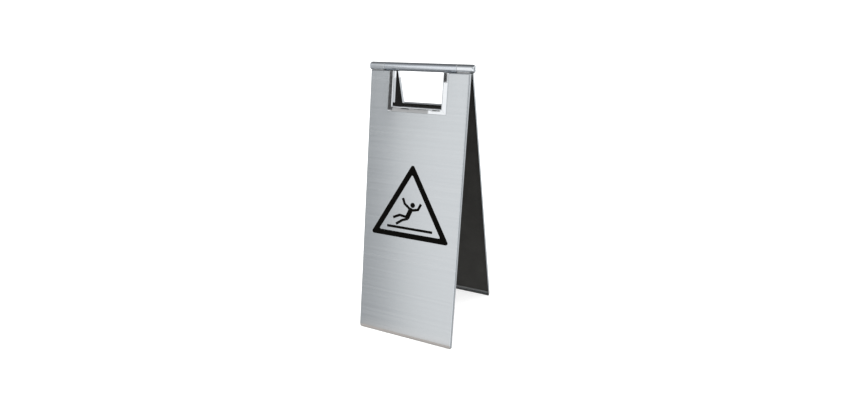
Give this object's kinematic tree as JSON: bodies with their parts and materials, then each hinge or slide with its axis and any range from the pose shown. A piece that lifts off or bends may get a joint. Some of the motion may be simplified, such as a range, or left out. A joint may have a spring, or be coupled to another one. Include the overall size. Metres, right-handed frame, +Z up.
{
  "type": "folding floor warning sign",
  "caption": "Free-standing A-frame floor sign of folded stainless sheet, with leaves that hinge on a top tube, a hand opening with polished trim, rubber soles and an internal opening stop.",
  "frame": {"origin": "on the floor, midway between the two soles and midway along the tube, with the sign standing open", "axes": "+Z up, +X along the hinge tube, -Y towards the front leaf and +Y towards the rear leaf"},
  "size_m": [0.256, 0.2668, 0.62],
  "materials": {
    "brushed_sheet": "brushed along the width",
    "polished_trim": "mirror polished",
    "satin_tube": "satin",
    "polished_tube": "polished",
    "black_board": "matt",
    "grey_foot": "moulded, matt",
    "nylon": "moulded",
    "turned_steel": "turned",
    "symbol_film": "screen printed"
  },
  "bodies": {
    "front_leaf": {"front_panel": "brushed_sheet", "front_trim_right": "polished_trim", "front_trim_left": "polished_trim", "front_trim_bottom": "polished_trim", "front_backing_board": "black_board", "front_foot_strip": "grey_foot", "left_knuckle": "polished_tube", "right_knuckle": "polished_tube", "end_caps": "polished_tube", "hinge_shaft": "turned_steel", "left_shaft_pin": "turned_steel", "right_shaft_pin": "turned_steel"},
    "rear_leaf": {"rear_panel": "brushed_sheet", "rear_trim_right": "polished_trim", "rear_trim_left": "polished_trim", "rear_trim_bottom": "polished_trim", "rear_backing_board": "black_board", "rear_foot_strip": "grey_foot", "hinge_barrel": "satin_tube", "left_bush": "nylon", "right_bush": "nylon", "thrust_washers": "nylon"}
  },
  "joints": [
    {"name": "leaf_hinge", "type": "hinge", "parent": "front_leaf", "child": "rear_leaf", "pos_m": [0, 0, 0.6105], "axis": [-1, 0, 0], "range_deg": [0, 23]}
  ]
}
